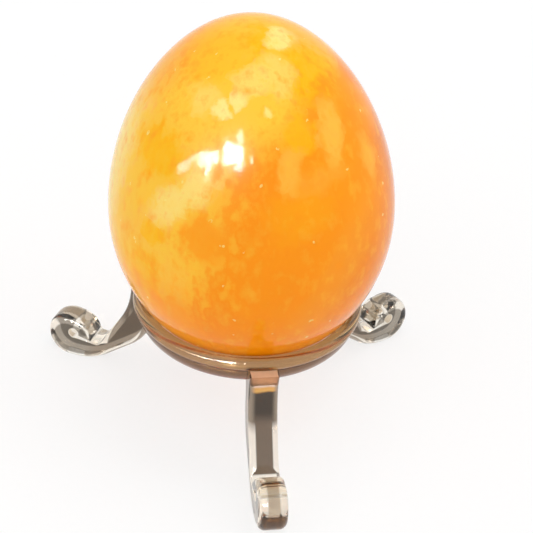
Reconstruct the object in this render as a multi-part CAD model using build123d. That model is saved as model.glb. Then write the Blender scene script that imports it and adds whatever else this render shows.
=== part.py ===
from build123d import *
import math
import os

# A polished stone egg rests loose in a clear moulded stand: a collar ring carried by three scroll legs.
# Lengths are in millimetres, and the front leg points along -Y.

os.makedirs("parts", exist_ok=True)

# The egg stands on its blunt end, and leans a little in its seat
egg_width = 50.0
egg_blunt_height = 28.5
egg_pointed_height = 35.7
egg_blunt_share = 0.542
egg_pointed_share = 0.508
egg_lean_deg = 3.0
seat_gap = 0.2

# The collar ring is a round lip on a tapering band, with a crease between them
ring_radius = 20.1
crease_height = 21.9
crease_inset = 0.35
lip_inset = 0.55
lip_section_radius = 1.15
lip_rise = 0.8
band_height = 3.5
band_shoulder_drop = 0.5
band_foot_inset = 1.5
band_bulge_depth = 0.3
band_foot_thickness = 2.8
band_foot_round = 0.5

# Each leg is one flat moulding: a block beside the ring, a stem, and a curl that ends on the stem
leg_sides = ("front", "right", "left")
leg_width = 5.2
leg_edge_round = 0.6
block_depth = 2.3
block_top_drop = 0.1
root_inset = 2.4
cement_gap = 0.1

# The curl closes round a small eye, and a narrow gap parts the curl's end from the stem
curl_reach = 35.0
curl_radius = 4.5
curl_crease_round = 1.2
foot_flat_depth = 0.15
eye_radius = 1.5
eye_inset = 1.0
eye_rise = 0.85
tip_gap_length = 3.3
tip_gap_mouth = 1.8
tip_gap_turn_deg = 192.0

# The stem falls straight beside the ring, bends into a slope that passes the curl, and ends level under it
back_knee_share = 0.475
back_foot_share = 0.725
front_knee_share = 0.385
curl_clearance = 0.9
knee_bend_share = 0.64
foot_bend_share = 0.8

# Heights and radii that follow from the sizes above
egg_radius = egg_width / 2
lip_height = crease_height + lip_rise
lip_radius = ring_radius - lip_inset
band_foot_height = crease_height - band_height
band_foot_radius = ring_radius - band_foot_inset
block_reach = ring_radius + block_depth
block_top_height = crease_height - block_top_drop
curl_height = curl_radius - foot_flat_depth

# The origin lies on the ground, in the middle of the box that holds the whole ornament
leg_reach = curl_reach + curl_radius
stand_axis_y = (leg_reach - egg_radius) / 2

# How often the search for the egg's seat halves its range
seat_search_steps = 50


def egg_half(tip_height, share):
    """One half of the egg's outline, from its tip to its widest place, as radius and height."""
    tip, widest = Vector(0, tip_height), Vector(egg_radius, 0)
    return Bezier(tip, tip + widest * share, widest + tip * share, widest)


def seat(blunt_half):
    """Where the lip section's middle lies beside the egg's outline, and how high the egg's held point is."""
    low, high = 0.0, 1.0
    for _ in range(seat_search_steps):
        share = (low + high) / 2
        contact, along = blunt_half @ share, blunt_half % share
        outwards = Vector(along.Y, -along.X)
        lip_middle = contact + outwards * (lip_section_radius + seat_gap)
        if lip_middle.X < lip_radius:
            low = share
        else:
            high = share
    return lip_middle, contact.Y - contact.X * outwards.Y / outwards.X


def make_egg():
    """The stone egg, leaning about the point of its axis that the seat holds in place."""
    blunt_half = egg_half(-egg_blunt_height, egg_blunt_share)
    pointed_half = egg_half(egg_pointed_height, egg_pointed_share)
    axis = Line(pointed_half @ 0, blunt_half @ 0)
    egg = revolve(Plane.XZ * make_face([blunt_half, pointed_half, axis]), Axis.Z)
    lip_middle, held_height = seat(blunt_half)
    egg = Rot(0, -egg_lean_deg, 0) * Pos(0, 0, -held_height) * egg
    return Pos(0, stand_axis_y, lip_height - lip_middle.Y + held_height) * egg


def ring_section(grown=0):
    """Half section of the ring as a face of radius and height, grown on all sides."""
    shoulder_height = crease_height - band_shoulder_drop
    lip_middle = (lip_radius, lip_height)
    throat = (lip_radius - lip_section_radius, lip_height)
    crease = (ring_radius - crease_inset, crease_height)
    shoulder = (ring_radius, shoulder_height)
    bulge = (
        (ring_radius + band_foot_radius) / 2 + band_bulge_depth,
        (shoulder_height + band_foot_height) / 2,
    )
    foot_outside = (band_foot_radius, band_foot_height)
    foot_inside = (band_foot_radius - band_foot_thickness, band_foot_height)
    outline = [
        Line(crease, shoulder),
        ThreePointArc(shoulder, bulge, foot_outside),
        Line(foot_outside, foot_inside),
        Line(foot_inside, throat),
        Line(throat, lip_middle),
        Line(lip_middle, crease),
    ]
    band = make_face(outline)
    band = fillet(band.vertices().sort_by(Axis.Y)[:2], band_foot_round)
    if grown:
        band = offset(band, grown)
    return Pos(*lip_middle) * Circle(lip_section_radius + grown) + band


def make_ring():
    """The collar ring, open through its middle."""
    return Pos(0, stand_axis_y, 0) * revolve(Plane.XZ * ring_section(), Axis.Z)


def bend(before, corner, after, setback):
    """The arc that rounds a corner, from a setback before it to a setback after it."""
    arc_start = corner + (before - corner).normalized() * setback
    arc_end = corner + (after - corner).normalized() * setback
    return TangentArc(arc_start, arc_end, tangent=corner - arc_start)


def joined(start, arcs, end):
    """The arcs in their order, with straight lines that join the start, the arcs and the end."""
    stops = [start] + [arc @ share for arc in arcs for share in (0, 1)] + [end]
    return arcs + [Line(*ends) for ends in zip(stops[::2], stops[1::2])]


def curl_crease(front_knee, curl_middle):
    """Where the crease's arc leaves the stem's front slope, and where it meets the curl."""
    to_curl = curl_middle - front_knee
    passing = curl_radius + curl_clearance
    slope = math.atan2(to_curl.Y, to_curl.X) - math.asin(passing / to_curl.length)
    along = Vector(math.cos(slope), math.sin(slope))
    across = Vector(-along.Y, along.X)
    to_nearest = math.sqrt(to_curl.length**2 - passing**2)
    from_crease = math.sqrt((curl_radius + curl_crease_round) ** 2 - (passing - curl_crease_round) ** 2)
    slope_end = front_knee + along * (to_nearest - from_crease)
    crease_middle = slope_end + across * curl_crease_round
    return slope_end, curl_middle + (crease_middle - curl_middle).normalized() * curl_radius


def leg_profile():
    """Side view of a leg as a face of radius and height."""
    root = Vector(ring_radius - root_inset, band_foot_height)
    block_corner = Vector(block_reach, block_top_height)
    behind_lip = Vector(lip_radius, block_top_height)
    curl_foot = Vector(curl_reach, curl_height - curl_radius)
    curl_side = Vector(curl_reach + curl_radius, curl_height)
    back_knee = Vector(root.X, root.Y - back_knee_share * (root.Y - curl_foot.Y))
    back_foot = Vector(root.X + back_foot_share * (curl_foot.X - root.X), curl_foot.Y)
    front_knee = Vector(block_corner.X, block_corner.Y - front_knee_share * (block_corner.Y - curl_height))
    slope_end, crease_end = curl_crease(front_knee, Vector(curl_reach, curl_height))
    back_knee_setback = knee_bend_share * (root.Y - back_knee.Y)
    back_foot_setback = foot_bend_share * (curl_foot.X - back_foot.X)
    front_knee_setback = knee_bend_share * (block_corner.Y - front_knee.Y)
    back_bends = [
        bend(root, back_knee, back_foot, back_knee_setback),
        bend(back_knee, back_foot, curl_foot, back_foot_setback),
    ]
    front_bends = [bend(slope_end, front_knee, block_corner, front_knee_setback)]
    outline = [
        *joined(root, back_bends, curl_foot),
        ThreePointArc(curl_foot, curl_side, crease_end),
        TangentArc(slope_end, crease_end, tangent=slope_end - front_knee),
        *joined(slope_end, front_bends, block_corner),
        Line(block_corner, behind_lip),
        Line(behind_lip, root),
    ]
    return make_face(outline)


def curl_eye():
    """The eye of the curl and the narrow gap that runs from it towards the crease, as one face."""
    middle = Vector(curl_reach - eye_inset, curl_height + eye_rise)
    turn = math.radians(tip_gap_turn_deg)
    mouth_foot = middle - Vector(0, eye_radius)
    mouth_top = mouth_foot + Vector(0, tip_gap_mouth)
    gap_end = middle + Vector(math.cos(turn), math.sin(turn)) * tip_gap_length
    gap = make_face(Polyline(mouth_foot, mouth_top, gap_end, close=True))
    return Pos(middle.X, middle.Y) * Circle(eye_radius) + gap


def make_leg(number):
    """The leg of a number: its edges are rounded, and it is notched for the ring and turned to its place."""
    side_view = Plane(origin=(0, 0, 0), x_dir=(0, -1, 0), z_dir=(-1, 0, 0))
    leg = extrude(side_view * leg_profile(), leg_width / 2, both=True)
    flanks = leg.faces().filter_by(Axis.X)
    leg = fillet([edge for flank in flanks for edge in flank.outer_wire().edges()], leg_edge_round)
    leg -= extrude(side_view * curl_eye(), leg_width, both=True)
    leg -= revolve(Plane.XZ * ring_section(cement_gap), Axis.Z)
    leg -= Pos(0, -leg_reach, -curl_radius) * Box(leg_reach, 2 * leg_reach, 2 * curl_radius)
    return Pos(0, stand_axis_y, 0) * Rot(0, 0, number * 360 / len(leg_sides)) * leg


nodes = {"egg": make_egg(), "collar_ring": make_ring()}
for number, side in enumerate(leg_sides):
    nodes[f"leg_{side}"] = make_leg(number)
for name, solid in nodes.items():
    export_step(solid, f"parts/{name}.step")
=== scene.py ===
import math

import bmesh
import bpy
from mathutils import Matrix, Vector


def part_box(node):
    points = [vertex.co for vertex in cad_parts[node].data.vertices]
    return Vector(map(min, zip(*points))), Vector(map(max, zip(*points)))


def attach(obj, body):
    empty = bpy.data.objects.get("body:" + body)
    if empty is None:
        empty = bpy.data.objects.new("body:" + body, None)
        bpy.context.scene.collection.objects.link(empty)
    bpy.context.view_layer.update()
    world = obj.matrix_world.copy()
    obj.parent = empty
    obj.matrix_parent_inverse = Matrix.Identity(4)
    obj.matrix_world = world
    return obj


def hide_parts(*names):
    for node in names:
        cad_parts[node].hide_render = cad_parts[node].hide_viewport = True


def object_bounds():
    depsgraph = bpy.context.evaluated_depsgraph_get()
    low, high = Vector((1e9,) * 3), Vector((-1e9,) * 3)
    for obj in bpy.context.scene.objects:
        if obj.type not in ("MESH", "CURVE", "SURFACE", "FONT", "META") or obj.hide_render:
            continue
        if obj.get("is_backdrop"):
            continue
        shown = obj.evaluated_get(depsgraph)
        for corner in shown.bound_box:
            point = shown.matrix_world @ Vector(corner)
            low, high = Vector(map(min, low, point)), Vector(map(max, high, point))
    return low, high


bl_info = {
    "name": "Stone Egg on a Clear Stand",
    "version": (1, 0, 0),
    "blender": (4, 5, 0),
    "location": "3D View > Sidebar > Egg on Stand",
    "description": "Makes a polished stone egg and the clear moulded stand that carries it",
    "category": "Add Mesh",
}

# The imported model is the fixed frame: it gives every node's place and size, in metres.
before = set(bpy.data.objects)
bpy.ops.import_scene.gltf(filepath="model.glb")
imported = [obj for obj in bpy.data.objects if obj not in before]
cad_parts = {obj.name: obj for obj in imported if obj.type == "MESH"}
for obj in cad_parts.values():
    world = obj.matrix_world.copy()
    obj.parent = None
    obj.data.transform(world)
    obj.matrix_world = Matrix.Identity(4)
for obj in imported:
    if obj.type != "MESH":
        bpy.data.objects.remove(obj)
cad_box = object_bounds()
MM = 0.001

# Points of a geometry tree that lie nearer to each other than this are one, and edges sharper than this stay sharp
WELD = 0.001 * MM
SHARP = math.radians(38)


def centre(box):
    return (box[0] + box[1]) / 2


# The legs stand round the ring's axis
stand_axis = centre(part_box("collar_ring"))
stand_axis.z = 0


# ---- colours and nodes

def linear(code):
    """A hex sRGB colour as linear red, green and blue."""
    shares = [int(code[place:place + 2], 16) / 255 for place in (0, 2, 4)]
    return tuple(c / 12.92 if c <= 0.04045 else ((c + 0.055) / 1.055) ** 2.4 for c in shares)


def adder(tree):
    """Gives the function that adds a node to a tree, with its settings, and with a value or a link for each input.

    A kind that names no family is a shader node. A node that is given for an input links by its first live output.
    """
    def add(kind, inputs=None, **settings):
        node = tree.nodes.new(kind if "Node" in kind else f"ShaderNode{kind}")
        for name, value in settings.items():
            setattr(node, name, value)
        for key, value in (inputs or {}).items():
            if isinstance(value, bpy.types.Node):
                value = next(output for output in value.outputs if output.enabled)
            if isinstance(value, bpy.types.NodeSocket):
                tree.links.new(value, node.inputs[key])
            else:
                node.inputs[key].default_value = value
        return node

    return add


def new_material(name):
    """An empty node material, the function that adds its nodes, and the object coordinates for its patterns."""
    material = bpy.data.materials.new(name)
    material.use_nodes = True
    material.node_tree.nodes.clear()
    add = adder(material.node_tree)
    return material, add, add("TexCoord").outputs["Object"]


# ---- sizes and finishes that a user may change

def length(name, description, millimetres):
    return bpy.props.FloatProperty(
        name=name, description=description, default=millimetres * MM, subtype="DISTANCE", unit="LENGTH", precision=5)


def share(name, description, value):
    return bpy.props.FloatProperty(name=name, description=description, default=value, subtype="FACTOR", min=0, max=2)


def turn(name, description, degrees):
    return bpy.props.FloatProperty(
        name=name, description=description, default=math.radians(degrees), subtype="ANGLE", unit="ROTATION")


def colour(name, description, code):
    return bpy.props.FloatVectorProperty(
        name=name, description=description, default=linear(code), size=3, subtype="COLOR", min=0, max=1)


class StoneEggSettings(bpy.types.PropertyGroup):
    """The egg's outline and the colours of its stone."""
    width: length("Width", "Width of the egg at its widest place", 50)
    blunt_height: length("Blunt Height", "Height from the blunt end to the widest place", 28.5)
    pointed_height: length("Pointed Height", "Height from the widest place to the pointed end", 35.7)
    blunt_share: share("Blunt Fullness", "How full the blunt half is", 0.542)
    pointed_share: share("Pointed Fullness", "How full the pointed half is", 0.508)
    lean: turn("Lean", "How far the egg leans in its seat", 3)
    body_colour: colour("Body", "Clear saturated stone that makes up most of the egg", "ff9800")
    deep_colour: colour("Deep", "The deeper orange, towards the foot", "f88a00")
    # Painted shade: the darker orange of the egg's side away from the window
    painted_dark_side_colour: colour("Russet", "The darkest orange, on the right side", "dc7400")
    amber_colour: colour("Amber", "Clear amber between the clouds", "ffb900")
    honey_colour: colour("Honey", "Pale honey in the milky zones", "ffca3c")
    peach_colour: colour("Peach", "Milky peach streaks and rims", "ffb940")
    # The cream also paints the glints of the cleavage faces
    cream_colour: colour("Cream", "The palest clouds and healed cracks", "ffe78c")


class CollarRingSettings(bpy.types.PropertyGroup):
    """The collar ring's section, as radius and height."""
    radius: length("Band Radius", "Outer radius of the band at its shoulder", 20.1)
    crease_height: length("Crease Height", "Height of the crease between lip and band", 21.9)
    crease_inset: length("Crease Inset", "How far the crease lies inside the shoulder", 0.35)
    lip_inset: length("Lip Inset", "How far the middle of the lip lies inside the shoulder", 0.7)
    lip_section: length("Lip Section", "Radius of the round lip's section", 1.3)
    lip_rise: length("Lip Rise", "Height of the lip's middle above the crease", 0.65)
    band_height: length("Band Height", "Height of the band below the crease", 3.5)
    shoulder_drop: length("Shoulder Drop", "How far the shoulder lies below the crease", 0.5)
    foot_inset: length("Foot Inset", "How far the band's foot lies inside the shoulder", 1.5)
    bulge: length("Bulge", "How far the band's side swells", 0.3)
    foot_thickness: length("Foot Thickness", "Thickness of the band at its foot", 2.8)
    foot_round: length("Foot Rounding", "Radius of the foot's edges", 0.5)


class ScrollLegSettings(bpy.types.PropertyGroup):
    """One scroll leg's side view, as radius and height."""
    count: bpy.props.IntProperty(name="Legs", description="How many legs carry the ring", default=3, min=1)
    width: length("Width", "Width of the flat moulding", 5.2)
    block_round: length("Block Rounding", "How far the edges of the block draw in", 0.4)
    stem_round: length("Stem Rounding", "How far the edges of the stem draw in", 1.2)
    curl_round: length("Curl Rounding", "How far the edges of the curl draw in", 1.7)
    tip_round: length("Tip Rounding", "How far the edges beside the curl's tip draw in", 0.6)
    slit_round: length("Slit Rounding", "How far the edges of the eye and its slit draw in", 0.12)
    block_depth: length("Block Depth", "How far the block stands out from the band", 2.3)
    block_top_drop: length("Block Top Drop", "How far the block's top lies below the crease", 0.1)
    root_inset: length("Root Inset", "How far the leg's root reaches in under the band", 2.4)
    cement_gap: length("Cement Gap", "Gap between the leg and the ring", 0.1)
    curl_reach: length("Curl Reach", "Distance from the stand's axis to the curl's middle", 35)
    curl_radius: length("Curl Radius", "Radius of the curl", 4.5)
    crease_round: length("Crease Rounding", "Radius where the stem meets the curl", 1.2)
    foot_flat: length("Foot Flat", "How much of the curl's foot is flat", 0.15)
    eye_radius: length("Eye Radius", "Radius of the curl's eye", 1.0)
    eye_inset: length("Eye Inset", "How far the eye lies inside the curl's middle", 1.1)
    eye_rise: length("Eye Rise", "How far the eye lies above the curl's middle", 1.15)
    back_knee: share("Back Knee", "Where the stem's back bends outwards", 0.475)
    back_foot: share("Back Foot", "Where the stem's back bends level", 0.725)
    front_knee: share("Front Knee", "Where the stem's front bends outwards", 0.385)
    clearance: length("Curl Clearance", "How far the stem's front slope would pass the curl", 0.9)
    knee_bend: share("Knee Bend", "How long the knees' bends are", 0.64)
    foot_bend: share("Foot Bend", "How long the foot's bend is", 0.8)
    # The heights where the painted shade on the upper stems, the painted highlight on the edges and the stone's painted
    # glow in the blocks set in
    shade_height: length("Shade Height", "Height above which the stems are shaded", 13.5)
    edge_height: length("Edge Height", "Height up to which the edges gather light", 13.0)
    glow_rise: length("Glow Rise", "How far the stone's glow lies above the band's foot", 0.2)
    glow_depth: length("Glow Depth", "How deep the stone's glow is", 1.1)


class AcrylicSettings(bpy.types.PropertyGroup):
    """The moulded acrylic of the stand. Its tints are painted light and shade, which stand in for the room, the table
    and the stone seen through the clear acrylic.
    """
    smoke: colour("Smoke", "Colour that light keeps deep in the acrylic", "a27a27")
    density: bpy.props.FloatProperty(
        name="Density", description="How fast light fades on its way through the acrylic, per metre", default=25, min=0)
    # Painted light: the pale cream of the curls' outer faces
    curl_painted_light: colour("Curl Tint", "Tint of the curls' outer faces", "c9b496")
    # Painted shade: the stems' dark outer faces, darker still on the shaded upper stems
    stem_painted_shade: colour("Stem Tint", "Tint of the stems' outer faces", "3a2c20")
    upper_painted_shade: colour("Upper Stem Tint", "Tint of the shaded upper stems", "0e0804")
    # Painted glow: the orange of the stone as it shows through the blocks' feet
    block_foot_painted_glow: colour("Block Foot Tint", "Glow of the stone in the foot of the blocks", "e08a28")
    # Painted light: the pale peach of the blocks
    block_painted_light: colour("Block Tint", "Tint of the blocks beside the ring", "ecc8ac")
    # Painted shade on the flat flanks of the stems and the curls
    stem_flank_painted_shade: colour("Stem Flank Tint", "Tint of the stems' flat flanks", "655645")
    curl_flank_painted_shade: colour("Curl Flank Tint", "Tint of the curls' flat flanks", "6a6256")
    # The cement's own colour, which also stands in as painted light for the pale blocks, and covers the blocks' level
    # tops
    cement_colour_and_painted_light: colour("Cement Tint", "Colour of the cured cement between the blocks and the ring", "eac49e")
    # Painted highlight on the rounded edges, which stands in for the pale table seen in them
    edge_painted_highlight: colour("Edge Tint", "Clear rounded edges, which show the pale table", "fffaf0")
    # Painted shade: the dark band of the ring
    band_painted_shade: colour("Band Tint", "Tint of the ring's band", "7c5430")
    # Painted glow: the warm stone seen through the ring's lip
    lip_painted_glow: colour("Lip Tint", "Tint of the ring's lip, which the stone warms", "ffd898")


class StageSettings(bpy.types.PropertyGroup):
    """The plain studio round the ornament."""
    window_power: bpy.props.FloatProperty(
        name="Window Strength", description="Radiance of the brightest window pane", default=110, min=0)
    sky_strength: bpy.props.FloatProperty(
        name="Sky Strength", description="Strength of the even light from all round", default=0.78, min=0)


# ---- outlines in the plane of radius and height

def arc(middle, radius, start, end, step=5):
    """Points along an arc, from one turn to another in degrees."""
    count = max(2, math.ceil(abs(end - start) / step))
    turns = [math.radians(start + (end - start) * n / count) for n in range(count + 1)]
    return [Vector((middle[0] + radius * math.cos(t), middle[1] + radius * math.sin(t))) for t in turns]


def bend(before, corner, after, radius):
    """Points of the arc that rounds a corner with a radius."""
    towards, away = (before - corner).normalized(), (after - corner).normalized()
    half = towards.angle(away) / 2
    middle = corner + (towards + away).normalized() * radius / math.sin(half)
    first = corner + towards * radius / math.tan(half)
    spread = math.pi - 2 * half
    side = 1 if towards.cross(away) < 0 else -1
    count = max(3, math.ceil(math.degrees(spread) / 5))
    reach = first - middle
    return [middle + Matrix.Rotation(side * spread * n / count, 2) @ reach for n in range(count + 1)]


def divided(points, longest):
    """The same polyline, with its long stretches divided."""
    result = [points[0]]
    for a, b in zip(points, points[1:]):
        count = max(1, math.ceil((b - a).length / longest))
        result += [a.lerp(b, n / count) for n in range(1, count + 1)]
    return result


def outward(points, place):
    """The mitred step that moves a point of an anticlockwise polyline outwards by a length of one."""
    normals = []
    for start in (place - 1, place):
        if 0 <= start < len(points) - 1:
            along = (points[start + 1] - points[start]).normalized()
            normals.append(Vector((along.y, -along.x)))
    if len(normals) == 1:
        return normals[0]
    return (normals[0] + normals[1]) / max(0.25, 1 + normals[0].dot(normals[1]))


def moved_out(points, distance):
    """The same polyline, with each point moved outwards."""
    return [p + outward(points, n) * distance for n, p in enumerate(points)]


def height_cross(points, height):
    """How far along a polyline, as a point number and a share, it first rises through a height."""
    for n, (a, b) in enumerate(zip(points, points[1:])):
        if a.y <= height < b.y:
            return n + (height - a.y) / (b.y - a.y)
    raise ValueError(f"the outline never reaches {height}")


def between(points, first, last, count):
    """Evenly spread points of a polyline between two places on it."""
    result = []
    for n in range(count + 1):
        place = first + (last - first) * n / count
        whole = min(int(place), len(points) - 2)
        result.append(points[whole].lerp(points[whole + 1], place - whole))
    return result


# ---- meshes

def put(name, mesh):
    """Links a mesh to the scene as an object at the origin."""
    piece = bpy.data.objects.new(name, mesh)
    bpy.context.scene.collection.objects.link(piece)
    return piece


def tidy_mesh(mesh, sharp=SHARP):
    """Merges doubles, turns faces outwards, and shades smoothly across all but sharp edges."""
    nearest, thinnest = 0.0001 * MM, 0.00001 * MM
    work = bmesh.new()
    work.from_mesh(mesh)
    bmesh.ops.remove_doubles(work, verts=work.verts, dist=nearest)
    bmesh.ops.dissolve_degenerate(work, edges=work.edges, dist=thinnest)
    bmesh.ops.recalc_face_normals(work, faces=work.faces)
    if work.calc_volume(signed=True) < 0:
        bmesh.ops.reverse_faces(work, faces=work.faces)
    for face in work.faces:
        face.smooth = True
    work.to_mesh(mesh)
    work.free()
    mesh.set_sharp_from_angle(angle=sharp)


def baked(name, source, make_tree, values, material):
    """Runs a new geometry tree on an object with its named inputs, and returns the result as a plain piece."""
    tree = make_tree(values)
    modifier = source.modifiers.new("Shape", "NODES")
    modifier.node_group = tree
    for item in tree.interface.items_tree:
        if item.in_out == "INPUT" and item.name in values:
            modifier[item.identifier] = values[item.name]
    bpy.context.view_layer.update()
    evaluated = source.evaluated_get(bpy.context.evaluated_depsgraph_get())
    mesh = bpy.data.meshes.new_from_object(evaluated)
    mesh.name = name
    source.modifiers.clear()
    bpy.data.objects.remove(source)
    mesh.materials.clear()
    mesh.materials.append(material)
    return put(name, mesh)


def new_tree(name, sizes):
    """A geometry tree whose inputs are a geometry, sizes with their defaults and a material.

    It comes with the function that adds its nodes, and with its inputs.
    """
    tree = bpy.data.node_groups.new(name, "GeometryNodeTree")
    kinds = {float: "NodeSocketFloat", int: "NodeSocketInt", tuple: "NodeSocketVector"}
    tree.interface.new_socket("Geometry", in_out="INPUT", socket_type="NodeSocketGeometry")
    for label, value in sizes.items():
        tree.interface.new_socket(label, in_out="INPUT", socket_type=kinds[type(value)]).default_value = value
    tree.interface.new_socket("Material", in_out="INPUT", socket_type="NodeSocketMaterial")
    tree.interface.new_socket("Geometry", in_out="OUTPUT", socket_type="NodeSocketGeometry")
    add = adder(tree)
    return tree, add, add("NodeGroupInput").outputs


def finish(add, shape, material):
    """Ends a geometry tree: its instances are made real and given their material."""
    real = add("GeometryNodeRealizeInstances", {"Geometry": shape})
    clad = add("GeometryNodeSetMaterial", {"Geometry": real, "Material": material})
    add("NodeGroupOutput", {0: clad})


# ---- the egg

def egg_tree(values):
    """Turns the egg's outline, two Bezier halves from tip to widest place, round its own axis."""
    tree, add, size = new_tree("turned_egg", {**values, "Turns": 384, "Rows": 240})
    radius = add("Math", {0: size["Width"], 1: 0.5}, operation="MULTIPLY")
    widest = add("CombineXYZ", {"X": radius})
    halves = []
    for which, side in (("Blunt", -1.0), ("Pointed", 1.0)):
        tip_height = add("Math", {0: size[f"{which} Height"], 1: side}, operation="MULTIPLY")
        across, up = (
            add("Math", {0: whole, 1: size[f"{which} Fullness"]}, operation="MULTIPLY")
            for whole in (radius, tip_height))
        ends = [
            add("CombineXYZ", {"X": x, "Z": z})
            for x, z in ((0.0, tip_height), (across, tip_height), (radius, up))] + [widest]
        if side > 0:
            ends.reverse()
        halves.append(add("GeometryNodeCurvePrimitiveBezierSegment", {
            "Resolution": 160, "Start": ends[0], "Start Handle": ends[1], "End Handle": ends[2], "End": ends[3],
        }, mode="POSITION"))

    # A flat grid gives the turn round the axis and the share of the way from the blunt tip to the pointed one
    columns, rows = (add("Math", {0: size[name], 1: 1.0}, operation="ADD") for name in ("Turns", "Rows"))
    grid = add("GeometryNodeMeshGrid", {"Size X": 1.0, "Size Y": 1.0, "Vertices X": columns, "Vertices Y": rows})
    flat = add("SeparateXYZ", {0: add("GeometryNodeInputPosition")}).outputs
    around = add("Math", {0: flat["X"], 1: 2 * math.pi}, operation="MULTIPLY")
    way_up = add("Math", {0: flat["Y"], 1: 0.5}, operation="ADD")
    sampled = []
    for half, start in zip(halves, (0.0, 1.0)):
        way = add("Math", {0: way_up, 1: 2.0, 2: -start}, operation="MULTIPLY_ADD", use_clamp=True)
        sample = add("GeometryNodeSampleCurve", {0: half, "Factor": way}, mode="FACTOR", use_all_curves=True)
        sampled.append(sample.outputs["Position"])
    both = add("VectorMath", {0: sampled[0], 1: sampled[1]}, operation="ADD")
    outline = add("VectorMath", {0: both, 1: widest}, operation="SUBTRACT")
    turned = add("VectorRotate", {"Vector": outline, "Angle": around}, rotation_type="Z_AXIS")
    shaped = add("GeometryNodeSetPosition", {"Geometry": grid, "Position": turned})
    closed = add("GeometryNodeMergeByDistance", {"Geometry": shaped, "Distance": WELD})
    backwards = add("Math", {0: size["Lean"], 1: -1.0}, operation="MULTIPLY")
    leaning = add("CombineXYZ", {"Y": backwards})
    leant = add("GeometryNodeTransform", {"Geometry": closed, "Rotation": leaning})
    finish(add, leant, size["Material"])
    return tree


# Clouds and clear zones of the stone, and painted shade on its right side, from the large and faint to the small and
# plain.
# Each has a colour, how strong it is, its turn from the front leg and height over the widest place,
# its half sizes across and up, its tilt, and how soft its edge is. Lengths are in millimetres.
stone_zones = [
    # Painted shade: the right side, away from the window, is painted darker
    ("painted_dark_side", 0.75, 84, 6, 9, 26, 0, 0.6),
    ("painted_dark_side", 0.4, 52, -8, 12, 12, 0, 0.6),
    # The pale top and the milky left side
    ("honey", 0.8, 10, 34.9, 11.9, 8.5, 0, 0.5),
    ("honey", 0.95, -22, 28.1, 11.6, 7.2, 0, 0.4),
    ("honey", 0.85, -62, 11.0, 16.5, 21.0, -3, 0.24),
    ("peach", 0.6, -102, 26.3, 8.0, 7.5, 0, 0.5),
    ("cream", 0.6, -90, 12.6, 6.5, 11.5, 0, 0.5),
    ("peach", 0.8, 86, 32.3, 6.8, 6.3, 0, 0.45),
    # Clear amber and orange among the clouds
    ("amber", 0.9, 11, 34.8, 1.3, 4.5, 30, 0.4),
    ("amber", 0.5, -44, 33.2, 7.4, 4.0, 0, 0.5),
    ("amber", 0.95, 48, 29.8, 6.6, 5.1, 30, 0.35),
    ("amber", 0.95, -56, 19.6, 5.9, 3.6, 0, 0.3),
    ("amber", 0.75, 18, 23.6, 2.6, 3.5, 0, 0.35),
    ("body", 0.8, 42, 15.6, 5.4, 7.2, 0, 0.3),
    ("body", 0.85, 60, 24.0, 8.4, 5.4, 25, 0.35),
    # Milky clouds and streaks
    ("cream", 0.8, 46, 34.6, 2.5, 2.0, 0, 0.35),
    ("cream", 0.45, -10, 31.0, 2.8, 2.5, 0, 0.4),
    ("cream", 0.38, 16, 31.4, 2.8, 3.9, 0, 0.4),
    ("cream", 0.35, -40, 28.5, 2.6, 2.4, 0, 0.6),
    ("cream", 0.95, -26, 27.6, 1.7, 1.4, 0, 0.25),
    ("cream", 0.85, -16, 29.0, 1.4, 1.2, 0, 0.3),
    ("cream", 0.8, 2, 27.4, 0.8, 0.9, 20, 0.3),
    ("peach", 0.95, 36, 22.7, 2.8, 5.2, 15, 0.35),
    ("peach", 0.6, 55, 16.2, 2.0, 3.4, 0, 0.45),
    ("peach", 0.8, 10, 19.1, 2.2, 3.8, 25, 0.35),
    ("peach", 0.35, 22, 16.7, 5.2, 1.8, 0, 0.5),
    # The diagonal edge where the milky side meets the clear orange
    ("cream", 0.6, -38, 14.2, 8.0, 2.7, -45, 0.45),
    ("peach", 0.4, -58, 5.0, 5.3, 3.4, -45, 0.5),
    ("amber", 0.9, -50, 6.0, 2.2, 2.2, 0, 0.35),
    ("body", 0.75, -28, 8.1, 3.9, 3.9, -35, 0.35),
    ("peach", 0.5, -41, -2.5, 3.0, 7.5, 0, 0.4),
    ("amber", 0.9, -60, -5.1, 6.5, 7.5, 0, 0.4),
    ("body", 0.45, -56, -8.0, 9.0, 7.0, 0, 0.5),
    ("body", 0.8, -43, -11.5, 5.3, 5.8, 0, 0.4),
    ("amber", 0.28, 12, 11.7, 5.9, 3.8, 0, 0.5),
    ("peach", 0.16, 26, -2.3, 3.7, 11.7, 30, 0.5),
    # The far side
    ("honey", 0.7, 175, 10, 12, 22, 25, 0.3),
    ("cream", 0.5, 150, 22, 6, 8, -20, 0.4),
    ("amber", 0.7, 120, -6, 10, 12, 10, 0.4),
    ("peach", 0.5, -140, 0, 5, 12, 15, 0.45),
    ("cream", 0.6, -160, 30, 4, 3, 0, 0.3),
    ("peach", 0.5, 110, 14, 3, 7, -15, 0.35),
]


def egg_radius_at(height, settings):
    """Radius of the egg, in millimetres, at a height over its widest place."""
    radius = settings.width / MM / 2
    tip = settings.pointed_height / MM if height > 0 else -settings.blunt_height / MM
    fullness = settings.pointed_share if height > 0 else settings.blunt_share
    low, high = 0.0, 1.0
    for _ in range(40):
        t = (low + high) / 2
        reached = tip * (3 * (1 - t) * t * t + t ** 3) + 3 * (1 - t) ** 2 * t * tip * fullness
        low, high = (t, high) if abs(reached) < abs(height) else (low, t)
    t = (low + high) / 2
    return radius * ((1 - t) ** 3 + 3 * (1 - t) ** 2 * t + 3 * (1 - t) * t * t * fullness)


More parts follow.
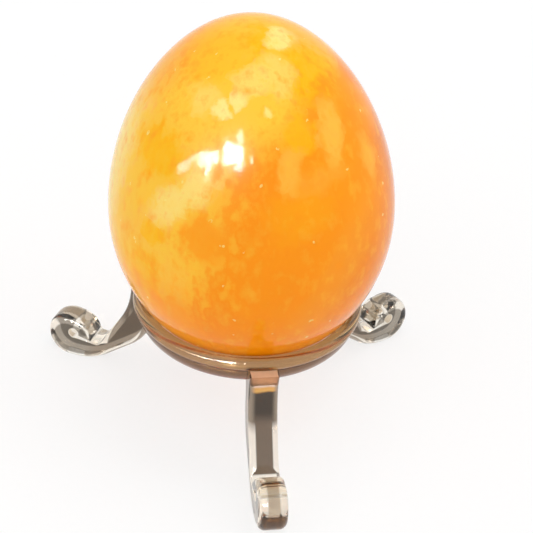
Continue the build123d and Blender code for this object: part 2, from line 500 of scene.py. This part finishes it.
def polished_calcite(settings, middle):
    """Banded orange calcite, cut, tumbled and polished to a wet gloss: light sinks a few millimetres in."""
    material, add, place = new_material("polished_orange_calcite")

    # The egg's own millimetres, with its middle at zero and its axis upright
    own = add("Mapping", {
        "Vector": place, "Location": middle, "Rotation": (0, -settings.lean, 0), "Scale": (MM, MM, MM),
    }, vector_type="TEXTURE")

    # The noises of the stone: how fine, detailed and rough they are. The fibres run upright.
    upright = add("Mapping", {"Vector": own, "Scale": (1.0, 1.0, 0.45)})
    wander, tone, mottle, fibres, ripple = (
        add("TexNoise", {"Vector": where, "Scale": scale, "Detail": detail, "Roughness": roughness})
        for where, scale, detail, roughness in (
            (own, 0.22, 3.0, 0.5), (own, 0.09, 3.0, 0.5), (own, 0.35, 6.0, 0.65), (upright, 0.6, 3.0, 0.5),
            (own, 0.22, 3.0, 0.55)))

    # Zone edges wander, as crystals of 2 to 5 mm do, and break along flat cleavage planes
    swayed = add("VectorMath", {0: wander.outputs["Color"], 1: (4.0, 4.0, 4.0), 2: own}, operation="MULTIPLY_ADD")
    swayed = add("VectorMath", {0: swayed, 1: (2.0, 2.0, 2.0)}, operation="SUBTRACT")
    grains = add("TexVoronoi", {"Vector": swayed, "Scale": 0.42})
    blocky = add("Mix", {"Factor": 0.2, 4: swayed, 5: grains.outputs["Position"]}, data_type="VECTOR")

    # Clear stone varies slowly, and is deepest orange at the foot
    height = add("SeparateXYZ", {0: blocky}).outputs["Z"]
    foot = add("MapRange", {
        "Value": height, "From Min": 8.0, "From Max": -22.0, "To Max": 0.7}, interpolation_type="SMOOTHSTEP")
    deeper = add("Math", {0: tone, 1: 0.5, 2: foot}, operation="MULTIPLY_ADD", use_clamp=True)
    shade = add("Mix", {
        "Factor": deeper, 6: (*settings.body_colour, 1), 7: (*settings.deep_colour, 1)}, data_type="RGBA")

    # A mottle with upright fibres in it frays the zones' edges
    grain = add("Math", {0: mottle, 1: fibres}, operation="ADD")
    fray = add("Math", {0: grain, 1: 1.1, 2: -1.1}, operation="MULTIPLY_ADD")

    # Each zone is a soft lump in the stone
    for tint, strength, at, up, half_across, half_up, tilt, soft in stone_zones:
        t = math.radians(at)
        radius = egg_radius_at(up, settings)
        inside = add("Mapping", {
            "Vector": blocky, "Location": (radius * math.sin(t), -radius * math.cos(t), up),
            "Rotation": (0, math.radians(tilt), t), "Scale": (half_across, max(half_across, half_up), half_up),
        }, vector_type="TEXTURE")
        reach = add("VectorMath", {0: inside}, operation="LENGTH")
        frayed = add("Math", {0: reach, 1: fray}, operation="ADD")
        cover = add("MapRange", {
            "Value": frayed, "From Min": 1 + soft, "From Max": 1 - soft, "To Max": strength,
        }, interpolation_type="SMOOTHSTEP")
        shade = add("Mix", {
            "Factor": cover, 6: shade, 7: (*getattr(settings, f"{tint}_colour"), 1)}, data_type="RGBA")

    # Milky veils lie where the grain is strong, and the stone is clearer where it is weak
    for start, end, most, tint in ((1.02, 1.45, 0.4, settings.honey_colour), (1.0, 0.65, 0.6, settings.body_colour)):
        cover = add("MapRange", {"Value": grain, "From Min": start, "From Max": end, "To Max": most})
        shade = add("Mix", {"Factor": cover, 6: shade, 7: (*tint, 1)}, data_type="RGBA")

    # Tiny flat cleavage faces, half a millimetre wide, are painted pale as painted glints, and pits break the polish
    # here and there.
    # Both are the middles of rare cells: how fine the cells are, what picks them, how rare and how large.
    torn = add("VectorMath", {0: fibres.outputs["Color"], 1: (2.5, 2.5, 1.2), 2: own}, operation="MULTIPLY_ADD")
    spots = []
    for where, fineness, channel, rarity, size in ((torn, 0.6, "Red", 0.9, 0.2), (own, 1.1, "Green", 0.93, 0.13)):
        cells = add("TexVoronoi", {"Vector": where, "Scale": fineness})
        pick = add("SeparateColor", {0: cells.outputs["Color"]}).outputs[channel]
        rare = add("Math", {0: pick, 1: rarity}, operation="GREATER_THAN")
        near = add("Math", {0: cells.outputs["Distance"], 1: size}, operation="LESS_THAN")
        spots.append(add("Math", {0: near, 1: rare}, operation="MULTIPLY"))
    glint_spot, pit = spots
    # The painted glints show only in the milky zones
    milky = add("Math", {0: grain, 1: 1.0}, operation="GREATER_THAN")
    shown = add("Math", {0: milky, 1: 0.6}, operation="MULTIPLY")
    painted_glint = add("Math", {0: glint_spot, 1: shown}, operation="MULTIPLY")
    shade = add("Mix", {"Factor": painted_glint, 6: shade, 7: (*settings.cream_colour, 1)}, data_type="RGBA")

    # The polish follows the grains a little, so reflections waver
    relief = add("Math", {0: ripple, 1: pit}, operation="SUBTRACT")
    bump = add("Bump", {"Strength": 0.35, "Distance": 0.25 * MM, "Height": relief})

    # Calcite's ordinary ray sees an IOR of 1.66, its extraordinary ray 1.49. The last haze of the tumbling
    # lies over the polish as a faint rough coat, and spreads a soft glow round the highlights.
    stone = add("BsdfPrincipled", {
        "Base Color": shade, "Roughness": 0.09, "IOR": 1.58, "Specular IOR Level": 0.1, "Normal": bump,
        "Subsurface Weight": 0.3, "Subsurface Radius": (1.0, 0.42, 0.1), "Subsurface Scale": 3 * MM,
        "Coat Weight": 0.08, "Coat Roughness": 0.3}, subsurface_method="RANDOM_WALK")
    add("OutputMaterial", {"Surface": stone})
    return material


class STONEEGG_OT_egg(bpy.types.Operator):
    """Makes the polished stone egg, leaning in its seat"""
    bl_idname = "stone_egg.egg"
    bl_label = "Stone Egg"

    def execute(self, context):
        settings = context.scene.stone_egg
        source = put("egg_outline", bpy.data.meshes.new("egg_outline"))
        piece = baked("stone_egg", source, egg_tree, {
            "Width": settings.width, "Blunt Height": settings.blunt_height,
            "Pointed Height": settings.pointed_height, "Blunt Fullness": settings.blunt_share,
            "Pointed Fullness": settings.pointed_share, "Lean": settings.lean,
        }, None)
        low, high = Vector(piece.bound_box[0]), Vector(piece.bound_box[6])
        middle = centre(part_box("egg")) - centre((low, high))
        piece.data.transform(Matrix.Translation(middle))
        tidy_mesh(piece.data, math.pi)
        piece.data.materials.clear()
        piece.data.materials.append(polished_calcite(settings, middle))
        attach(piece, "egg")
        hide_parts("egg")
        return {"FINISHED"}


# ---- the stand

def moulded_acrylic(name, acrylic, painted_bands, leg=None):
    """Clear acrylic, injection moulded and flame polished: glassy, with painted light and shade in its tints, which
    stand in for the room, the table and the stone seen through it.

    The painted tints run from the foot upwards. Each is a colour, the height where it sets in, and how softly.
    """
    material, add, place = new_material(name)

    # The melt leaves slow waves some 4 mm long in the faces, and the painted tints' borders drift with them
    waves = add("TexNoise", {"Vector": place, "Scale": 240.0, "Detail": 2.0, "Roughness": 0.4})
    bump = add("Bump", {"Strength": 0.3, "Distance": 0.1 * MM, "Height": waves})
    height = add("SeparateXYZ", {0: place}).outputs["Z"]
    mean_drift = 0.6
    drift = add("Math", {0: waves, 1: 2 * mean_drift * MM, 2: height}, operation="MULTIPLY_ADD")
    shade = (*painted_bands[0][0], 1)
    for tint, start, soft in painted_bands[1:]:
        reached = add("MapRange", {
            "Value": drift, "From Min": start + (mean_drift - soft) * MM, "From Max": start + (mean_drift + soft) * MM,
        }, interpolation_type="SMOOTHSTEP")
        shade = add("Mix", {"Factor": reached, 6: shade, 7: (*tint, 1)}, data_type="RGBA")

    # The flat flanks have painted shade of their own, and the curls are painted paler than the stems, as painted light.
    # The change lies across the crease between them, and fades towards the curls' tops.
    if leg:
        level = add("VectorMath", {0: place, 1: (1, 1, 0), 2: -stand_axis}, operation="MULTIPLY_ADD")
        from_axis = add("VectorMath", {0: level}, operation="LENGTH")
        on_curl = add("MapRange", {
            "Value": from_axis, "From Min": leg.curl_reach - 1.4 * leg.curl_radius,
            "From Max": leg.curl_reach - 0.6 * leg.curl_radius}, interpolation_type="SMOOTHSTEP")
        flank = add("Mix", {
            "Factor": on_curl, 6: (*acrylic.stem_flank_painted_shade, 1), 7: (*acrylic.curl_flank_painted_shade, 1)}, data_type="RGBA")
        fades = add("MapRange", {
            "Value": drift, "From Min": 1.3 * leg.curl_radius, "From Max": 1.8 * leg.curl_radius,
            "To Min": 1.0, "To Max": 0.5}, interpolation_type="SMOOTHSTEP")
        pale = add("Math", {0: on_curl, 1: fades}, operation="MULTIPLY")
        shade = add("Mix", {"Factor": pale, 6: shade, 7: (*acrylic.curl_painted_light, 1)}, data_type="RGBA")
        front = add("Attribute", attribute_name="front").outputs["Fac"]
        shade = add("Mix", {"Factor": front, 6: flank, 7: shade}, data_type="RGBA")

    # Painted highlight: the rounded edges of the lower stems and the curls are painted pale, which stands in for the
    # light of the table seen in them
    edge = add("Attribute", attribute_name="edge").outputs["Fac"]
    shade = add("Mix", {"Factor": edge, 6: shade, 7: (*acrylic.edge_painted_highlight, 1)}, data_type="RGBA")
    clear = add("BsdfPrincipled", {
        "Base Color": shade, "Roughness": 0.07, "IOR": 1.49, "Transmission Weight": 1.0, "Normal": bump})
    depth = add("VolumeAbsorption", {"Color": (*acrylic.smoke, 1), "Density": acrylic.density})
    add("OutputMaterial", {"Surface": clear, "Volume": depth})
    return material


def cement_film_and_painted_light(tint):
    """Solvent cement, brushed into the joint and cured: a hazed matt film that shows pale through the block. Its pale
    colour also stands in, as painted light, for the light seen through the blocks, and it covers the blocks' tops.
    """
    material, add, place = new_material("cured_cement_and_painted_light")

    # The brush leaves blots about a millimetre wide
    blots = add("TexNoise", {"Vector": place, "Scale": 900.0, "Detail": 2.0})
    thin = tuple(0.8 * channel for channel in tint)
    shade = add("Mix", {"Factor": blots, 6: (*thin, 1), 7: (*tint, 1)}, data_type="RGBA")
    bump = add("Bump", {"Strength": 0.3, "Distance": 0.1 * MM, "Height": blots})
    film = add("BsdfPrincipled", {"Base Color": shade, "Roughness": 0.6, "IOR": 1.49, "Normal": bump})
    add("OutputMaterial", {"Surface": film})
    return material


def ring_outside(ring, gap=0.0):
    """The ring's outer side, from the underside of its foot up to the top of its lip."""
    lip_middle = Vector((ring.radius - ring.lip_inset, ring.crease_height + ring.lip_rise))
    foot = ring.crease_height - ring.band_height
    foot_outside = Vector((ring.radius - ring.foot_inset, foot))
    foot_middle = Vector((foot_outside.x - ring.foot_thickness / 2, foot))
    shoulder = Vector((ring.radius, ring.crease_height - ring.shoulder_drop))
    crease = Vector((ring.radius - ring.crease_inset, ring.crease_height))

    # The band's side is an arc through its shoulder, its bulge and its foot
    bulge = Vector(((shoulder.x + foot_outside.x) / 2 + ring.bulge, (shoulder.y + foot_outside.y) / 2))
    chord = shoulder - foot_outside
    sag = (bulge - (shoulder + foot_outside) / 2).length
    across = Vector((chord.y, -chord.x)).normalized()
    steps = 16
    shares = [n / steps for n in range(1, steps + 1)]
    side = [foot_outside + chord * t + across * (4 * sag * t * (1 - t)) for t in shares]

    # The bends at the shoulder and at the crease are tighter than the foot's
    foot_bend = bend(foot_middle, foot_outside, side[1], ring.foot_round)
    side = [p for p in side if p.y > foot_bend[-1].y + ring.foot_round / 8 and p.y < shoulder.y - ring.lip_section / 6]
    way_in = [shoulder.lerp(crease, n / 100) for n in range(100)]
    onto_lip = next((p for p in way_in if (p - lip_middle).length < ring.lip_section), crease)
    reach = onto_lip - lip_middle
    start = math.degrees(math.atan2(reach.y, reach.x))
    lip = arc(lip_middle, ring.lip_section, start, 90)
    shoulder_bend = bend(side[-1], shoulder, onto_lip, ring.foot_round / 3)
    crease_bend = bend(shoulder, onto_lip, lip[2], ring.foot_round / 4)
    return moved_out([foot_middle] + foot_bend + side + shoulder_bend + crease_bend + lip[2:], gap)


def ring_outline(ring):
    """The ring's whole section, anticlockwise."""
    lip_middle = Vector((ring.radius - ring.lip_inset, ring.crease_height + ring.lip_rise))
    outside = ring_outside(ring)
    foot = outside[0].y
    inside_foot = Vector((ring.radius - ring.foot_inset - ring.foot_thickness, foot))
    throat = Vector((lip_middle.x - ring.lip_section, lip_middle.y))
    over = arc(lip_middle, ring.lip_section, 90, 180)[1:]
    return outside + over + bend(throat, inside_foot, outside[0], ring.foot_round)


def ring_tree(values):
    """Sweeps a section round a circle."""
    tree, add, given = new_tree("swept_ring", {**values, "Steps": 360})
    section = add("GeometryNodeMeshToCurve", {"Mesh": given["Geometry"]})
    path = add("GeometryNodeCurvePrimitiveCircle", {
        "Resolution": given["Steps"], "Radius": given["Radius"]}, mode="RADIUS")
    swept = add("GeometryNodeCurveToMesh", {"Curve": path, "Profile Curve": section})
    closed = add("GeometryNodeMergeByDistance", {"Geometry": swept, "Distance": WELD})
    finish(add, closed, given["Material"])
    return tree


class STONEEGG_OT_ring(bpy.types.Operator):
    """Makes the clear collar ring that the egg rests in"""
    bl_idname = "stone_egg.ring"
    bl_label = "Collar Ring"

    def execute(self, context):
        ring, acrylic = context.scene.stone_egg_ring, context.scene.stone_egg_acrylic
        outline = divided(ring_outline(ring) + ring_outline(ring)[:1], 0.35 * MM)[:-1]
        middle = Vector((ring.radius - ring.lip_inset, 0))
        section = bpy.data.meshes.new("ring_section")
        # The sweep lays a section's second axis downwards
        points = [(p.x - middle.x, -p.y, 0) for p in outline]
        section.from_pydata(points, [(n, (n + 1) % len(points)) for n in range(len(points))], [])
        # Painted shade on the band and the stone's painted glow on the lip
        material = moulded_acrylic("moulded_ring_acrylic", acrylic, [
            (acrylic.band_painted_shade, 0, 0), (acrylic.lip_painted_glow, ring.crease_height, 0.2)])
        piece = baked("clear_collar_ring", put("ring_section", section), ring_tree, {"Radius": middle.x}, material)
        piece.data.transform(Matrix.Translation(stand_axis))
        tidy_mesh(piece.data)
        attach(piece, "stand")
        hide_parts("collar_ring")
        return {"FINISHED"}


def leg_outline(leg, ring):
    """The leg's side view but for its notch, anticlockwise from the root over the foot to the block's top.

    Each point is its radius, its height, and how far the leg's edges draw in there.
    """
    curl_height = leg.curl_radius - leg.foot_flat
    root = Vector((ring.radius - leg.root_inset, ring.crease_height - ring.band_height - leg.cement_gap))
    block_corner = Vector((ring.radius + leg.block_depth, ring.crease_height - leg.block_top_drop))
    curl = Vector((leg.curl_reach, curl_height))
    curl_foot = Vector((curl.x, curl.y - leg.curl_radius))
    top_root = root.y + leg.cement_gap
    back_knee = Vector((root.x, top_root - leg.back_knee * (top_root - curl_foot.y)))
    back_foot = Vector((root.x + leg.back_foot * (curl_foot.x - root.x), curl_foot.y))
    front_knee = Vector((block_corner.x, block_corner.y - leg.front_knee * (block_corner.y - curl_height)))

    # The stem's front slope runs past the curl, and a small crease joins the two
    to_curl = curl - front_knee
    passing = leg.curl_radius + leg.clearance
    slope = math.atan2(to_curl.y, to_curl.x) - math.asin(passing / to_curl.length)
    along = Vector((math.cos(slope), math.sin(slope)))
    across = Vector((-along.y, along.x))
    to_nearest = math.sqrt(to_curl.length ** 2 - passing ** 2)
    from_crease = math.sqrt((leg.curl_radius + leg.crease_round) ** 2 - (passing - leg.crease_round) ** 2)
    slope_end = front_knee + along * (to_nearest - from_crease)
    crease = slope_end + across * leg.crease_round
    to_crease = math.degrees(math.atan2(crease.y - curl.y, crease.x - curl.x))
    slope_side = math.degrees(slope) - 90

    # From the crease's floor a slit runs in to the eye, and parts the curl's flat-cut tip from the stem
    eye = curl + Vector((-leg.eye_inset, leg.eye_rise))
    slit_floor, slit_roof = slope_side + 360 + 65, slope_side + 360 + 100

    def knee(before, corner, after, setback):
        half = (before - corner).angle(after - corner) / 2
        return bend(before, corner, after, setback * math.tan(half))

    # Each stretch of the outline, with how far the edges draw in at its start and at its end. Turns are in degrees.
    block, stem, outer, tip, slit = leg.block_round, leg.stem_round, leg.curl_round, leg.tip_round, leg.slit_round
    stretches = [
        ([root], block, block),
        (knee(root, back_knee, back_foot, leg.knee_bend * (top_root - back_knee.y)), stem, stem),
        (knee(back_knee, back_foot, curl_foot, leg.foot_bend * (curl_foot.x - back_foot.x)), stem, stem),
        (arc(curl, leg.curl_radius, -90, 30, 3), stem, outer),
        (arc(curl, leg.curl_radius, 30, 100, 3)[1:], outer, outer),
        (arc(curl, leg.curl_radius, 100, 145, 3)[1:], outer, tip),
        (arc(curl, leg.curl_radius, 145, to_crease, 3)[1:], tip, 2 * slit),
        (arc(crease, leg.crease_round, to_crease + 180, slit_roof, 12)[1:], 2 * slit, slit),
        (arc(eye, leg.eye_radius, 200, -110, 8), slit, slit),
        (arc(crease, leg.crease_round, slit_floor, slope_side + 360, 12), slit, 2 * slit),
        ([slope_end - along * leg.crease_round], stem, stem),
        (knee(slope_end, front_knee, block_corner, leg.knee_bend * (block_corner.y - front_knee.y)), stem, stem),
        ([block_corner], block, block),
    ]
    points = []
    for stretch, first, last in stretches:
        shares = [n / max(1, len(stretch) - 1) for n in range(len(stretch))]
        points += [Vector((p.x, p.y, first + (last - first) * t)) for p, t in zip(stretch, shares)]
    return points


def leg_mesh(leg, ring):
    """One leg as a closed mesh that points along -Y: rows of its outline across its width, and two flat flanks."""
    half = leg.width / 2
    outline = divided(leg_outline(leg, ring), 0.45 * MM)
    notch = divided(ring_outside(ring, leg.cement_gap), 0.1 * MM)
    side_view = [p.xy for p in outline]
    steps = [outward(side_view, n) for n in range(len(outline))]
    steps[0], steps[-1] = Vector((-1, 0)), Vector((1, 1))

    # Steps along the notch and across each rounded edge, and how far in a ring of faces keeps the flank flat
    notch_steps, edge_steps, flat_from = 40, 9, 1.15

    def row(drawn_in, narrowed, side):
        """The side view with its edges drawn in and narrowed by shares, its notch following the ring round."""
        places = [(p.xy - step * p.z * drawn_in, half - p.z * narrowed) for p, step in zip(outline, steps)]
        root, top = places[0][0], places[-1][0]
        start = next(n + (root.x - a.x) / (b.x - a.x) for n, (a, b) in enumerate(zip(notch, notch[1:]))
                     if a.x <= root.x < b.x)
        x = places[0][1]
        points = [(side * w, -p.x, max(p.y, 0.0)) for p, w in places]
        contact = between(notch, start, height_cross(notch, top.y), notch_steps)
        return points + [(side * x, -math.sqrt(p.x ** 2 - x ** 2), p.y) for p in reversed(contact)]

    turns = [math.radians(90 * n / edge_steps) for n in range(edge_steps + 1)]
    shares = [(flat_from, 0.0)] + [(1 - math.sin(t), 1 - math.cos(t)) for t in turns]
    rows = [row(a, b, 1) for a, b in shares]
    mirrored = [row(a, b, -1) for a, b in reversed(shares)]
    # A painted highlight lies in the middle of an edge's rounding, and the outer face's painted tint begins at its end
    edge_highlight_share = [0.0] + [min(1.0, 3.2 * math.sin(2 * t)) for t in turns]
    outwards = [0.0] + [math.sin(t) ** 8 for t in turns]
    rim = [[tuple(Vector(p).lerp(Vector(q), share)) for p, q in zip(rows[-1], mirrored[0])] for share in
           (0.25, 0.5, 0.75)]
    # Between the flanks the notch follows the ring's curve
    for line in rim:
        for n in range(len(outline), len(line)):
            x, y, z = line[n]
            edge_x, edge_y, _ = rows[-1][n]
            line[n] = (x, -math.sqrt(edge_x ** 2 + edge_y ** 2 - x ** 2), z)

    work = bmesh.new()
    edge, front, joint = (work.verts.layers.float.new(name) for name in ("edge", "front", "joint"))
    made = [[work.verts.new(p) for p in points] for points in rows + rim + mirrored]
    foot = next(n for n, p in enumerate(outline) if p.x >= leg.curl_reach)
    for line, bright, rimward in zip(made, edge_highlight_share + [0.0] * len(rim) + edge_highlight_share[::-1],
                                     outwards + [1.0] * len(rim) + outwards[::-1]):
        for n, vertex in enumerate(line):
            # The painted highlight on outer faces stays below the edge height, and on the flanks it fills their rims
            low = min(1.0, max(0.0, (leg.edge_height - vertex.co.z) / (2 * MM)))
            cemented = n >= len(outline)
            outer = foot <= n < len(outline) and outline[n].z > 2 * leg.slit_round
            vertex[edge] = bright * low if outer or cemented else max(bright, rimward)
            vertex[front] = rimward if outer or cemented else 0.0
            vertex[joint] = float(cemented)
    for one, other in zip(made, made[1:]):
        count = len(one)
        for n in range(count):
            work.faces.new((one[n], one[(n + 1) % count], other[(n + 1) % count], other[n]))
    for loop in (made[0], made[-1]):
        edges = [work.edges.get((vertex, loop[(n + 1) % len(loop)])) for n, vertex in enumerate(loop)]
        bmesh.ops.triangle_fill(work, use_beauty=True, use_dissolve=False, edges=edges)
    mesh = bpy.data.meshes.new("scroll_leg")
    work.to_mesh(mesh)
    work.free()
    return mesh


def leg_tree(values):
    """Sets one leg out evenly round the stand's axis."""
    tree, add, given = new_tree("legs_round_axis", values)
    places = add("GeometryNodeMeshLine", {
        "Count": given["Legs"], "Start Location": (0, 0, 0), "Offset": (0, 0, 0)}, mode="OFFSET")
    step = add("Math", {0: 2 * math.pi, 1: given["Legs"]}, operation="DIVIDE")
    angle = add("Math", {0: add("GeometryNodeInputIndex"), 1: step}, operation="MULTIPLY")
    facing = add("CombineXYZ", {"Z": angle})
    copies = add("GeometryNodeInstanceOnPoints", {
        "Points": places, "Instance": given["Geometry"], "Rotation": facing})
    real = add("GeometryNodeRealizeInstances", {"Geometry": copies})
    moved = add("GeometryNodeTransform", {"Geometry": real, "Translation": given["Axis"]})
    finish(add, moved, given["Material"])
    return tree


class STONEEGG_OT_legs(bpy.types.Operator):
    """Makes the scroll legs that carry the ring"""
    bl_idname = "stone_egg.legs"
    bl_label = "Scroll Legs"

    def execute(self, context):
        leg, ring = context.scene.stone_egg_leg, context.scene.stone_egg_ring
        acrylic = context.scene.stone_egg_acrylic
        mesh = leg_mesh(leg, ring)
        tidy_mesh(mesh)
        # The tints are painted: shade on the stems, deeper painted shade on the upper stems, the stone's painted glow
        # in the blocks' feet and painted light on the blocks
        glow = ring.crease_height - ring.band_height + leg.glow_rise
        material = moulded_acrylic("moulded_leg_acrylic", acrylic, [
            (acrylic.stem_painted_shade, 0, 0), (acrylic.upper_painted_shade, leg.shade_height, 1.5),
            (acrylic.block_foot_painted_glow, glow, 0.3), (acrylic.block_painted_light, glow + leg.glow_depth, 0.3)], leg)
        piece = baked("clear_scroll_legs", put("one_leg", mesh), leg_tree, {
            "Legs": leg.count, "Axis": tuple(stand_axis)}, material)

        # The cement lies in the notches, and the same pale film on the blocks' level tops is painted light
        joint = piece.data.attributes["joint"].data
        piece.data.materials.append(cement_film_and_painted_light(acrylic.cement_colour_and_painted_light))
        block_top = ring.crease_height - leg.block_top_drop - 0.1 * MM
        for face in piece.data.polygons:
            on_top = face.normal.z > 0.95 and face.center.z > block_top
            face.material_index = int(on_top or all(joint[n].value > 0.5 for n in face.vertices))
        piece.data.set_sharp_from_angle(angle=SHARP)
        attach(piece, "stand")
        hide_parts("leg_front", "leg_right", "leg_left")
        return {"FINISHED"}


# ---- the stage

# Each pane of the window: its turn from the front, its rise, its half width, its half height and its lean,
# all in degrees and as the egg sees them, and its share of the window's strength.
window_panes = [
    (-27.0, 26.6, 8.8, 5.2, 0, 1.0),
    (-22.5, 35.0, 1.3, 4.0, 0, 0.5),
    (-48.0, 20.3, 8.5, 2.3, 18, 0.8),
    (-65.0, 12.5, 9.0, 1.6, 35, 0.35),
    (-47.4, 14.5, 2.0, 2.8, 0, 0.7),
    (-9.2, 26.0, 0.9, 3.2, 0, 0.5),
]

# The soft lamps: their directions from the egg, their sizes in metres, and their radiance
soft_lamps = [
    ("top_softbox", (0.2, 0.1, 1), 0.5, 2.0),
    ("left_softbox", (-1.1, -0.6, 0.6), 0.4, 0.7),
    ("front_softbox", (-0.4, -1, 0.8), 0.4, 1.0),
    ("right_softbox", (1.2, -0.5, 0.7), 0.4, 1.4),
]

# How far the panes and the soft lamps are from the egg, and half the width of the floor, in metres
pane_distance, lamp_distance, floor_reach = 0.7, 0.8, 3.0

# The camera looks down at the ornament from the front left, from arm's length: the place it looks at in millimetres,
# its distance from there in metres, its turn, pitch and roll in radians, and its lens in millimetres
camera_aim, camera_distance = (3.005, 6.693, 29.758), 0.3218
camera_turn, camera_pitch, camera_roll = 0.1832, 0.5994, 0.0646
camera_lens, camera_sensor, camera_nearest = 121.576, 36, 0.01


def seen_directly(add):
    """One for rays from the lens, off a gloss and through the glass, and nought for the light that surfaces catch."""
    rays = add("LightPath").outputs
    seen = rays["Is Camera Ray"]
    for name in ("Is Glossy Ray", "Is Transmission Ray"):
        seen = add("Math", {0: seen, 1: rays[name]}, operation="ADD", use_clamp=True)
    return seen


def paper_white():
    """Matt white studio paper: the lens and the glass see it white, and shadows still fall on it."""
    material, add, place = new_material("matt_studio_paper")
    grain = add("TexNoise", {"Vector": place, "Scale": 900.0, "Detail": 2.0})
    tone = add("Mix", {"Factor": grain, 6: (*linear("f6f6f6"), 1), 7: (*linear("fafafa"), 1)}, data_type="RGBA")
    paper = add("BsdfDiffuse", {"Color": tone, "Roughness": 1.0})
    bright = add("Emission", {"Color": (1, 1, 1, 1), "Strength": 1.0})
    most = add("Math", {0: seen_directly(add), 1: 0.7}, operation="MULTIPLY")
    mixed = add("MixShader", {0: most, 1: paper, 2: bright})
    add("OutputMaterial", {"Surface": mixed})
    return material


def even_sky(strength):
    """A white sky that gives an even light from all round."""
    sky = bpy.data.worlds.new("even_sky")
    sky.use_nodes = True
    sky.node_tree.nodes.clear()
    add = adder(sky.node_tree)
    light, white = (add("Background", {"Color": (1, 1, 1, 1), "Strength": value}) for value in (strength, 1.0))
    mixed = add("MixShader", {0: seen_directly(add), 1: light, 2: white})
    add("OutputWorld", {"Surface": mixed})
    return sky


def direction(turned, risen):
    """The direction that is turned from the front and risen from level, both in radians."""
    return Vector((math.sin(turned) * math.cos(risen), -math.cos(turned) * math.cos(risen), math.sin(risen)))


def add_lamp(name, toward, distance, size, strength, aim, lean=0.0):
    """A rectangular lamp that lies in a direction from a point and faces it. Strength is its radiance."""
    data = bpy.data.lights.new(name, "AREA")
    data.shape = "RECTANGLE"
    data.size, data.size_y = size
    data.energy = strength * size[0] * size[1] * math.pi
    lamp = bpy.data.objects.new(name, data)
    lamp.location = aim + toward * distance
    lamp.rotation_euler = (toward.to_track_quat("Z", "Y").to_matrix() @ Matrix.Rotation(lean, 3, "Z")).to_euler()
    bpy.context.scene.collection.objects.link(lamp)
    return lamp


class STONEEGG_OT_stage(bpy.types.Operator):
    """Makes the floor, the lamps, the sky and the camera"""
    bl_idname = "stone_egg.stage"
    bl_label = "Studio"

    def execute(self, context):
        scene = context.scene
        settings = scene.stone_egg_stage
        floor_mesh = bpy.data.meshes.new("floor")
        floor_mesh.from_pydata([
            (x * floor_reach, y * floor_reach, 0) for x, y in ((-1, -1), (1, -1), (1, 1), (-1, 1))], [], [(0, 1, 2, 3)])
        floor_mesh.materials.append(paper_white())
        put("floor", floor_mesh)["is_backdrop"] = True

        # The panes and the lamps face a point above the egg's middle
        aim = centre(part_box("egg")) + Vector((0, 0, 12 * MM))
        for number, (*angles, share_of) in enumerate(window_panes):
            turned, risen, half_width, half_height, lean = map(math.radians, angles)
            size = [2 * pane_distance * math.tan(half) for half in (half_width, half_height)]
            pane = add_lamp(f"window_pane_{number}", direction(turned, risen), pane_distance, size,
                            settings.window_power * share_of, aim, lean)
            # The window shows as a highlight, and the soft lamps light the stone
            pane.visible_diffuse = False
        for name, toward, size, strength in soft_lamps:
            lamp = add_lamp(name, Vector(toward).normalized(), lamp_distance, (size, size), strength, aim)
            lamp.visible_glossy = False

        scene.world = even_sky(settings.sky_strength)

        back = direction(-camera_turn, camera_pitch)
        right = Vector((math.cos(camera_turn), -math.sin(camera_turn), 0))
        up = back.cross(right)
        side = right * math.cos(camera_roll) + up * math.sin(camera_roll)
        rise = up * math.cos(camera_roll) - right * math.sin(camera_roll)
        lens = bpy.data.cameras.new("camera")
        lens.sensor_width, lens.lens, lens.clip_start = camera_sensor, camera_lens, camera_nearest
        camera = bpy.data.objects.new("camera", lens)
        place = Matrix.Translation(Vector(camera_aim) * MM + back * camera_distance)
        camera.matrix_world = place @ Matrix((side, rise, back)).transposed().to_4x4()
        scene.collection.objects.link(camera)
        scene.camera = camera
        scene.view_settings.view_transform = "Standard"
        return {"FINISHED"}


# ---- the panel

operators = (STONEEGG_OT_stage, STONEEGG_OT_egg, STONEEGG_OT_ring, STONEEGG_OT_legs)
groups = {"stone_egg": StoneEggSettings, "stone_egg_ring": CollarRingSettings, "stone_egg_leg": ScrollLegSettings,
          "stone_egg_acrylic": AcrylicSettings, "stone_egg_stage": StageSettings}


class STONEEGG_PT_panel(bpy.types.Panel):
    """Lists the makers of the ornament's pieces and their settings"""
    bl_idname = "STONEEGG_PT_panel"
    bl_label = "Egg on Stand"
    bl_space_type = "VIEW_3D"
    bl_region_type = "UI"
    bl_category = "Egg on Stand"

    def draw(self, context):
        for operator in operators:
            self.layout.operator(operator.bl_idname)
        for name, group in groups.items():
            box = self.layout.box()
            for label in group.__annotations__:
                box.prop(getattr(context.scene, name), label)


def register():
    for group in groups.values():
        bpy.utils.register_class(group)
    for name, group in groups.items():
        setattr(bpy.types.Scene, name, bpy.props.PointerProperty(type=group))
    for kind in (*operators, STONEEGG_PT_panel):
        bpy.utils.register_class(kind)


def unregister():
    for kind in (STONEEGG_PT_panel, *reversed(operators)):
        bpy.utils.unregister_class(kind)
    for name in groups:
        delattr(bpy.types.Scene, name)
    for group in reversed(list(groups.values())):
        bpy.utils.unregister_class(group)


def main():
    """Makes the whole ornament."""
    register()
    bpy.ops.stone_egg.stage()
    bpy.ops.stone_egg.egg()
    bpy.ops.stone_egg.ring()
    bpy.ops.stone_egg.legs()
    corners = {"cad": cad_box, "visual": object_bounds()}
    plain = {name: [list(corner) for corner in box] for name, box in corners.items()}


if __name__ == "__main__":
    main()
